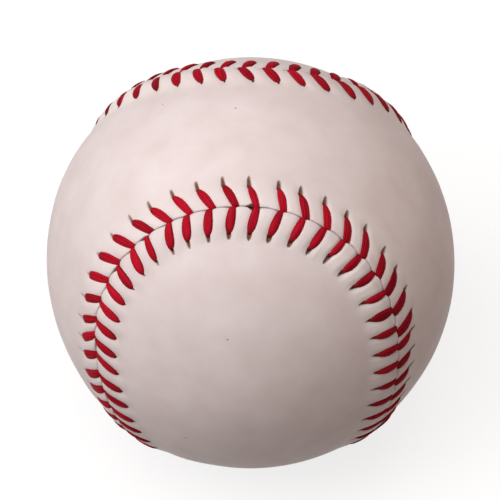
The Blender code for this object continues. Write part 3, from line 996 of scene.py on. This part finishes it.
    def _columns(self, stitch: np.ndarray, step: np.ndarray, reach: np.ndarray) -> Arrays:
        """Puts columns at true distances near each arm, and shares out the leather between two arms.

        Args:
            stitch: Stitch number of each point.
            step: Wanted distance ahead of the arm.
            reach: Distance from the seam.

        Returns:
            Length along the seam, and true distance ahead of the arm.
        """
        pitch = self.seam.pitch
        near = self.near
        base = stitch * pitch + self.row.axis(stitch, reach)
        stretch = self._stretch(base, self.row.side.sign * reach)
        side = np.where(step < 0.0, -1, 1)
        other_base = (stitch + side) * pitch + self.row.axis((stitch + side) % STITCHES, reach)
        edge = base + side * near / stretch
        other_edge = other_base - side * near / stretch
        share = (np.abs(step) - near) / (pitch - 2.0 * near)
        between = edge + share * (other_edge - edge)
        along = np.where(np.abs(step) <= near, base + step / stretch, between)
        return along, (along - base) * stretch

    def _middle(self, layer: Layer) -> Piece:
        """Builds one face of the panel's smooth middle as a grid from tip to tip.

        Args:
            layer: Outer or inner face of the leather.

        Returns:
            The middle, with its border attribute.
        """
        count = self.ring_points
        half = count // 2
        places = (np.arange(count) + 0.5) * self.seam.length / count
        ring = self.seam.frames(places, np.full(count, self.band * self.row.side.sign))[0]
        tip = count // 4 if self.row.side is PanelSide.UPPER else 0
        left = ring[(tip + np.arange(half)) % count]
        right = ring[(tip - 1 - np.arange(half)) % count]
        rows = self._rib_rows(left, right)
        last_row, last_column = rows.shape[0] - 1, rows.shape[1] - 1
        piece, column, row = add_grid(f"{self.name}_{layer.name.lower()}", last_column, last_row)
        outward = rows[row, column]
        height = self._undulation(outward) if layer is Layer.OUTER else np.full(len(outward), -self.thickness)
        lay_points(piece, self._rest(outward * (self.seam.radius(outward) + height)[:, None]))
        edge = (row == 0) | (row == last_row) | (column == 0) | (column == last_column)
        set_attribute(piece, "border", np.where(edge, layer.value, 0.0))
        return piece

    def _rib_rows(self, left: np.ndarray, right: np.ndarray) -> np.ndarray:
        """Directions of the middle's rows: the tips, and great circles across the panel between.

        Args:
            left: Border points from tip to tip on one side.
            right: Their mirror points on the other side.

        Returns:
            Unit vectors by row and column.
        """
        held = self.tip_points
        half = len(left)
        first_tip = np.concatenate((left[:held][::-1], right[:held]))
        last_tip = np.concatenate((left[half - held:], right[half - held:][::-1]))
        share = np.linspace(0.0, 1.0, 2 * held)
        rows = [first_tip]
        first_bulge = first_tip - self._great_circle(first_tip[0], first_tip[-1], share)
        last_bulge = last_tip - self._great_circle(last_tip[0], last_tip[-1], share)
        for j in range(held, half - held):
            rib = self._great_circle(left[j], right[j], share)
            from_first = max(0.0, 1.0 - (j - held + 1) / self.tip_blend) ** 2
            from_last = max(0.0, 1.0 - (half - held - j) / self.tip_blend) ** 2
            rows.append(unit(rib + first_bulge * from_first + last_bulge * from_last))
        rows.append(last_tip)
        return np.array(rows)

    @staticmethod
    def _great_circle(start: np.ndarray, end: np.ndarray, share: np.ndarray) -> np.ndarray:
        """Finds directions on the great circle between two directions.

        Args:
            start: Direction at share 0.
            end: Direction at share 1.
            share: Places on the way.

        Returns:
            A unit vector for each place.
        """
        angle = math.acos(float(np.clip(np.dot(start, end), -1.0, 1.0)))
        first = np.sin((1.0 - share) * angle)[:, None] * start
        second = np.sin(share * angle)[:, None] * end
        return (first + second) / math.sin(angle)

    @staticmethod
    def _bridge(piece: Piece, layer: Layer) -> None:
        """Joins the band's border to the border of the middle on the same face of the leather.

        Args:
            piece: Band and middles in one piece.
            layer: Face of the leather.
        """
        mesh = piece.data
        marks = np.empty(len(mesh.vertices), dtype=np.float32)
        mesh.attributes["border"].data.foreach_get("value", marks)
        ends = np.empty(len(mesh.edges) * 2, dtype=np.int32)
        mesh.edges.foreach_get("vertices", ends)
        loops = np.empty(len(mesh.loops), dtype=np.int32)
        mesh.loops.foreach_get("edge_index", loops)
        uses = np.bincount(loops, minlength=len(mesh.edges))
        wanted = (uses == 1) & (marks[ends.reshape(-1, 2)] == layer.value).all(axis=1)
        bpy.ops.object.mode_set(mode="EDIT")
        bpy.ops.mesh.select_all(action="DESELECT")
        bpy.ops.mesh.select_mode(type="EDGE")
        bpy.ops.object.mode_set(mode="OBJECT")
        mesh.edges.foreach_set("select", wanted)
        bpy.ops.object.mode_set(mode="EDIT")
        bpy.ops.mesh.bridge_edge_loops()
        bpy.ops.mesh.select_mode(type="VERT")
        bpy.ops.object.mode_set(mode="OBJECT")


@dataclass(frozen=True)
class ArmStation:
    """One ring of thread on the way from the slit to the seam."""

    share: float
    height: float
    thickness_share: float
    # Painted shade on this ring, strongest where the thread passes into the leather.
    entry_shade: float


@dataclass
class SeamThread:
    """One waxed strand: arms a pitch apart on alternate panels, joined beneath the leather."""

    seam: SeamLine
    ridge: SeamRidge
    first: SewnRow
    second: SewnRow
    name: str
    ply_edge: float = 0.36
    ply_notch: float = 0.07
    ply_depth: float = 0.30
    ply_twist: float = 0.22
    twist_by_hand: float = 0.6
    twist_along: float = 1.2
    shoulders: tuple[float, ...] = (1.0, 0.82, 0.60)
    below: tuple[float, ...] = (-0.6, 0.0, 0.6)
    # Painted shade at the strand's sides, as a share of the grooves' shade.
    side_groove: float = 0.6
    turn_to_seam: tuple[float, float] = (0.70, 0.96)
    least_lean: float = 0.5
    stations: tuple[ArmStation, ...] = (
        ArmStation(-0.05, -0.00105, 0.70, 1.0),
        ArmStation(0.00, -0.00040, 0.85, 0.8),
        ArmStation(0.08, -0.00018, 0.93, 0.25),
        ArmStation(0.20, -0.00008, 1.0, 0.04),
        ArmStation(0.36, -0.00005, 1.0, 0.0),
        ArmStation(0.54, -0.00004, 1.0, 0.0),
        ArmStation(0.72, -0.00005, 1.0, 0.0),
        ArmStation(0.87, -0.00009, 0.98, 0.03),
        ArmStation(0.97, -0.00020, 0.93, 0.12),
        ArmStation(1.03, -0.00090, 0.80, 0.9),
    )

    def build(self, material: bpy.types.Material) -> Piece:
        """Builds the strand as one closed tube.

        Args:
            material: The waxed thread.

        Returns:
            The strand.
        """
        rings = STITCHES * len(self.stations)
        groove = self._section(0.0)[2]
        piece, column, line = add_grid(self.name, len(groove), rings)
        ring, side = line % rings, column % len(groove)
        points, tone, entry_shade = self._rings()
        lay_points(piece, points[ring, side])
        # Marks: the stitch tone with its painted shade, painted shade in the grooves and at the sides, and
        # painted shade where the thread enters the leather.
        for name, values in {"groove": groove[side], "tone": tone[ring], "entry_shade": entry_shade[ring]}.items():
            set_attribute(piece, name, values)
        close_mesh(piece)
        dress(piece, material)
        return piece

    def _section(self, turn: float) -> Arrays:
        """Outline of the strand: three plies side by side above, plain below.

        Args:
            turn: How far the plies have turned round the strand.

        Returns:
            Place across, place upwards and share of painted shade of each point, against the half sizes.
        """
        edge, notch = self.ply_edge, self.ply_notch
        half = np.array((*self.shoulders, edge + notch, edge, edge - notch))
        above = np.concatenate((half, (0.0,), -half[::-1]))
        between = np.abs(above) == edge
        # Painted shade: the ply grooves take the deep red fully, the strand's sides in part.
        groove = np.where(between, 1.0, np.where(np.abs(above) == 1.0, self.side_groove, 0.0))
        height = np.sqrt(1.0 - above ** 2) * (1.0 - self.ply_depth * between)
        across = above + turn * (1.0 - above ** 2)
        below = np.array(self.below)
        return (
            np.concatenate((across, below)),
            np.concatenate((height, -np.sqrt(1.0 - below ** 2))),
            np.concatenate((groove, np.zeros(len(below)))),
        )

    def _rings(self) -> Arrays:
        """Places the rings of every arm.

        Returns:
            Ring points by ring and side, and for each ring the tone and the painted shade where the thread
            passes into the leather.
        """
        points, tones, entry_shades = [], [], []
        for stitch in range(STITCHES):
            row = self.first if stitch % 2 == 0 else self.second
            for station, centre, wide, up in zip(self.stations, *self._arm(row, stitch)):
                twist = self.twist_by_hand * row.twist[stitch] + self.twist_along * (station.share - 0.5)
                across, above, _ = self._section(self.ply_twist * twist)
                points.append(centre + across[:, None] * wide + row.side.sign * above[:, None] * up)
                tones.append(row.tone[stitch])
                entry_shades.append(station.entry_shade)
        return np.array(points), np.array(tones), np.array(entry_shades)

    def _arm(self, row: SewnRow, stitch: int) -> Arrays:
        """Middle, half width and half thickness vectors of one arm's rings.

        Args:
            row: The arms on the arm's panel.
            stitch: Number of the stitch.

        Returns:
            Vectors by ring.
        """
        sign = row.side.sign
        share, level, thick, _ = np.array([astuple(station) for station in self.stations]).T
        reach = row.reach[stitch] * (1.0 - share)
        along = stitch * self.seam.pitch + row.axis(np.full(len(reach), stitch), np.maximum(reach, 0.0))
        height = level - row.sink[stitch] + self.ridge.at(reach, along / self.seam.pitch)
        outward, ahead = self.seam.frames(along, sign * reach)
        centre = outward * (self.seam.radius(outward) + height)[:, None]
        square = unit(np.cross(np.gradient(outward, axis=0), outward)) * sign
        at_seam = smooth_step(*self.turn_to_seam, share)[:, None]
        side = unit(square * (1.0 - at_seam) - ahead * at_seam)
        lean = np.maximum(np.abs(np.sum(side * square, axis=1)), self.least_lean)
        up = unit(np.cross(side, np.gradient(centre, axis=0))) * sign
        wide = side * (row.width(stitch, share) / lean)[:, None]
        return centre, wide, up * (thick * row.half_thickness)[:, None]


@dataclass(frozen=True, kw_only=True)
class WoundYarnFinish(Finish):
    """Yarn wound in crossing great circles: dull, hairy, with rounded strands."""

    strand_mm: float
    roughness: float = 0.95
    bump: float = 0.9
    patch_mm: float = 16.0
    hair_mm: float = 0.3
    hair_share: float = 0.3
    wave_bands: float = 20.0
    turn: float = 6.28

    def _pattern(self, tree: Tree) -> Pattern:
        """Lays waves of strands in patches, each patch turned its own way, with hair over them.

        Args:
            tree: The yarn's node tree.

        Returns:
            Share of the other tone, height and marks.
        """
        place = {"Vector": add_node(tree, "TexCoord").outputs["Object"]}
        patch = add_node(tree, "TexVoronoi", {"Scale": per_metre(self.patch_mm)}, place).outputs["Color"]
        times = {"operation": "MULTIPLY", 1: (self.turn, self.turn, self.turn)}
        swing = {"Rotation": add_node(tree, "VectorMath", times, {0: patch}).outputs["Vector"]}
        lay = add_node(tree, "VectorRotate", {"rotation_type": "EULER_XYZ"}, place | swing).outputs["Vector"]
        waves = {"Scale": per_metre(self.strand_mm) / self.wave_bands, "Distortion": 1.2, "Detail": 2.0}
        strands = add_node(tree, "TexWave", waves, {"Vector": lay}).outputs["Fac"]
        fine = {"Scale": per_metre(self.hair_mm), "Detail": 3.0}
        hair = add_node(tree, "TexNoise", fine, place).outputs["Fac"]
        sums = {"operation": "MULTIPLY_ADD", 1: self.hair_share}
        height = add_node(tree, "Math", sums, {0: hair, 2: strands}).outputs[0]
        return height, height, []


@dataclass(frozen=True, kw_only=True)
class MouldedRubberFinish(Finish):
    """Moulded rubber: matt, with fine dusting and slow cloudy variation."""

    bump: float = 0.2
    relief_mm: float = 0.05
    cloud_mm: float = 4.0
    dust_mm: float = 0.25

    def _pattern(self, tree: Tree) -> Pattern:
        """Varies the rubber's colour by clouds and its height by dust.

        Args:
            tree: The rubber's node tree.

        Returns:
            Share of the other tone, height and marks.
        """
        place = {"Vector": add_node(tree, "TexCoord").outputs["Object"]}
        cloud = add_node(tree, "TexNoise", {"Scale": per_metre(self.cloud_mm), "Detail": 5.0}, place)
        dust = add_node(tree, "TexNoise", {"Scale": per_metre(self.dust_mm), "Detail": 2.0}, place)
        return cloud.outputs["Fac"], dust.outputs["Fac"], []


@dataclass(frozen=True, kw_only=True)
class CorkFinish(Finish):
    """Pressed cork granules: dull, tan, with darker joints between the granules."""

    name: str = "pressed_cork"
    tone: str = "7A5531"
    other_tone: str = "C79C6B"
    roughness: float = 0.85
    bump: float = 0.4
    relief_mm: float = 0.1
    granule_mm: float = 1.6
    joint_share: float = 0.12

    def _pattern(self, tree: Tree) -> Pattern:
        """Darkens and sinks the joints between the granules.

        Args:
            tree: The cork's node tree.

        Returns:
            Share of the other tone, height and marks.
        """
        place = {"Vector": add_node(tree, "TexCoord").outputs["Object"]}
        size = {"feature": "DISTANCE_TO_EDGE", "Scale": per_metre(self.granule_mm)}
        granules = add_node(tree, "TexVoronoi", size, place).outputs["Distance"]
        limits = {"From Min": 0.0, "From Max": self.joint_share}
        joints = add_node(tree, "MapRange", limits, {"Value": granules}).outputs["Result"]
        return joints, joints, []


INNER_FINISHES = (
    (
        WoundYarnFinish(
            name="grey_wool_yarn", tone="55514C", other_tone="A5A098", strand_mm=1.3, relief_mm=0.52,
        ),
        ("wool_winding_first", "wool_winding_third"),
    ),
    (
        WoundYarnFinish(
            name="white_wool_yarn", tone="A89F8C", other_tone="EDE6D6", strand_mm=1.0, relief_mm=0.4,
        ),
        ("wool_winding_second",),
    ),
    (
        WoundYarnFinish(
            name="white_cotton_thread", tone="B9B1A3", other_tone="F3EEE4", strand_mm=0.5, relief_mm=0.2,
        ),
        ("finishing_winding",),
    ),
    (
        MouldedRubberFinish(
            name="black_moulded_rubber", tone="1E1C1B", other_tone="3A3736", roughness=0.75,
        ),
        ("rubber_cup_upper", "rubber_cup_lower"),
    ),
    (
        MouldedRubberFinish(name="red_moulded_rubber", tone="8E372E", other_tone="B4544A", roughness=0.65),
        ("rubber_gasket", "rubber_jacket_upper", "rubber_jacket_lower"),
    ),
    (CorkFinish(), ("cork_core",)),
)


@dataclass
class Core:
    """The pill and windings inside the cover, kept from the frame and given their finishes."""

    nodes: dict[str, Piece]

    def dress(self) -> None:
        """Gives every inner node its own finish."""
        for finish, names in INNER_FINISHES:
            material = finish.material()
            for name in names:
                dress(self.nodes[name], material)
                LOG.info("dressed %s", name)


@dataclass(frozen=True)
class SoftLight:
    """A square soft light aimed at the ball from a place to the camera's right, above and behind it."""

    name: str
    right: float
    up: float
    back: float
    watts: float
    tint: str


@dataclass
class Studio:
    """Pale floor, soft lights and the camera at the photograph's angle."""

    floor_height: float
    floor_gap: float = 0.00005
    floor_size: float = 6.0
    floor_tint: str = "8A8A8A"
    floor_glow: float = 0.8
    floor_bounce: str = "8C8783"
    ambient_tint: str = "FFE4D4"
    ambient: float = 0.1
    toward: tuple[float, float, float] = (0.0643, -0.6738, 0.7361)
    right: tuple[float, float, float] = (0.9976, 0.0257, -0.0636)
    distance_in_radii: float = 30.0
    image_pixels: float = 500.0
    ball_pixels: float = 204.3
    centre_pixels: tuple[float, float] = (251.25, 262.6)
    sensor_mm: float = 36.0
    light_distance: float = 1.0
    light_size: float = 0.75
    lights: tuple[SoftLight, ...] = (
        SoftLight("key_light", -0.50, 0.48, 0.72, watts=2.4, tint="FFFFFF"),
        SoftLight("front_light", -0.20, 0.35, 0.92, watts=5.2, tint="FFFDFC"),
        SoftLight("left_light", -0.85, 0.15, 0.48, watts=3.4, tint="FFFFFF"),
        SoftLight("top_light", 0.25, 0.90, 0.35, watts=1.8, tint="FFFBF8"),
        SoftLight("right_light", 0.95, 0.10, 0.10, watts=1.05, tint="FFBE98"),
    )

    def build(self) -> None:
        """Builds the whole stage."""
        back = Vector(self.toward).normalized()
        right = Vector(self.right)
        right = (right - back * right.dot(back)).normalized()
        axes = (right, back.cross(right), back)
        self._camera(axes)
        self._floor()
        for light in self.lights:
            self._light(light, axes)
        self._world()

    def _camera(self, axes: tuple[Vector, Vector, Vector]) -> None:
        """Places the camera so that the ball has the size and place it has in the photograph.

        Args:
            axes: Right, up and backward unit vectors of the camera.
        """
        right, up, back = axes
        data = bpy.data.cameras.new("photo_camera")
        camera = bpy.data.objects.new("photo_camera", data)
        bpy.context.scene.collection.objects.link(camera)
        pixel = COVER_RADIUS / self.ball_pixels
        aside = right * ((self.image_pixels / 2.0 - self.centre_pixels[0]) * pixel)
        above = up * ((self.centre_pixels[1] - self.image_pixels / 2.0) * pixel)
        place = back * (self.distance_in_radii * COVER_RADIUS) + aside + above
        turn = Matrix(axes).transposed()
        camera.matrix_world = Matrix.Translation(place) @ turn.to_4x4()
        focal_pixels = self.ball_pixels * math.sqrt(self.distance_in_radii ** 2 - 1.0)
        data.sensor_width = self.sensor_mm
        data.lens = focal_pixels * self.sensor_mm / self.image_pixels
        bpy.context.scene.camera = camera

    @staticmethod
    def _show(tree: Tree, output: str, unseen: Socket, seen: Socket) -> None:
        """Shows the camera one shader, straight, by reflection or through something clear.

        Args:
            tree: Node tree that takes the nodes.
            output: Kind of the output node.
            unseen: Shader that only lights the ball.
            seen: Shader that the camera sees.
        """
        path = add_node(tree, "LightPath").outputs
        share = path["Is Camera Ray"]
        for ray in ("Is Glossy Ray", "Is Transmission Ray"):
            share = add_node(tree, "Math", {"operation": "MAXIMUM"}, {0: share, 1: path[ray]}).outputs[0]
        mix = add_node(tree, "MixShader", {}, {0: share, 1: unseen, 2: seen}).outputs[0]
        add_node(tree, output, {}, {"Surface": mix})

    def _floor(self) -> None:
        """A wide pale floor, white to the camera, that keeps the ball's shadow."""
        height = self.floor_height - self.floor_gap
        bpy.ops.mesh.primitive_plane_add(size=self.floor_size, location=(0.0, 0.0, height))
        floor = bpy.context.active_object
        floor.name = "studio_floor"
        material = bpy.data.materials.new("pale_studio_floor")
        material.use_nodes = True
        tree = material.node_tree
        tree.nodes.clear()
        pale = add_node(tree, "BsdfDiffuse", {"Color": linear_from_hex(self.floor_tint)}).outputs[0]
        white = {"Color": linear_from_hex("FFFFFF"), "Strength": self.floor_glow}
        glow = add_node(tree, "Emission", white).outputs[0]
        bright = add_node(tree, "AddShader", {}, {0: pale, 1: glow}).outputs[0]
        dim = add_node(tree, "BsdfDiffuse", {"Color": linear_from_hex(self.floor_bounce)}).outputs[0]
        self._show(tree, "OutputMaterial", dim, bright)
        dress(floor, material)
        floor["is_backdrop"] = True

    def _light(self, light: SoftLight, axes: tuple[Vector, Vector, Vector]) -> None:
        """Adds one light.

        Args:
            light: The light.
            axes: Right, up and backward unit vectors of the camera.
        """
        source = axes[0] * light.right + axes[1] * light.up + axes[2] * light.back
        data = bpy.data.lights.new(light.name, "AREA")
        data.size = self.light_size
        data.energy = light.watts
        data.color = linear_from_hex(light.tint)[:3]
        lamp = bpy.data.objects.new(light.name, data)
        bpy.context.scene.collection.objects.link(lamp)
        lamp.location = source.normalized() * self.light_distance
        lamp.rotation_euler = source.to_track_quat("Z", "Y").to_euler()

    def _world(self) -> None:
        """Weak warm light from all round, white to the camera."""
        world = bpy.data.worlds.new("studio_world")
        bpy.context.scene.world = world
        world.use_nodes = True
        tree = world.node_tree
        tree.nodes.clear()
        weak = {"Color": linear_from_hex(self.ambient_tint), "Strength": self.ambient}
        white = {"Color": linear_from_hex("FFFFFF"), "Strength": 1.0}
        ambient, bright = (add_node(tree, "Background", light).outputs[0] for light in (weak, white))
        self._show(tree, "OutputWorld", ambient, bright)


def add_cover(floor_height: float) -> None:
    """Builds both panels and both strands and puts them in place of their nodes.

    Args:
        floor_height: Height of the patch that the ball stands on.
    """
    seam = SeamLine()
    ridge = SeamRidge()
    upper = SewnRow(PanelSide.UPPER, UPPER_LAYS, UPPER_ODD, half_thickness=0.00030, seed=11)
    lower = SewnRow(PanelSide.LOWER, LOWER_LAYS, LOWER_ODD, half_thickness=0.00034, seed=23)
    leather = LeatherFinish().material()
    thread = ThreadFinish().material()
    for row, node in ((upper, "cover_panel_upper"), (lower, "cover_panel_lower")):
        panel = CoverPanel(seam, ridge, row, floor_height, node.replace("cover", "leather"))
        finish_piece(panel.build(leather), node)
    for first, second, node in ((upper, lower, "seam_thread_first"), (lower, upper, "seam_thread_second")):
        strand = SeamThread(seam, ridge, first, second, node.replace("seam", "waxed"))
        finish_piece(strand.build(thread), node)


def finish_piece(piece: Piece, node: str) -> None:
    """Puts a piece in place of a node, on its body.

    Args:
        piece: The finished piece.
        node: CAD node that it stands for.
    """
    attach(piece, BODY)
    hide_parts(node)
    LOG.info("%s in place of %s: %d faces", piece.name, node, len(piece.data.polygons))


def main() -> None:
    """Builds the cover, dresses the core and sets up the studio."""
    logging.basicConfig(level=logging.INFO, format="%(name)s: %(message)s")
    cad_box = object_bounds()
    bpy.context.scene.view_settings.view_transform = "Standard"
    add_cover(float(cad_box[0][2]))
    Core(frame["nodes"]).dress()
    Studio(floor_height=float(cad_box[0][2])).build()


if __name__ == "__main__":
    main()
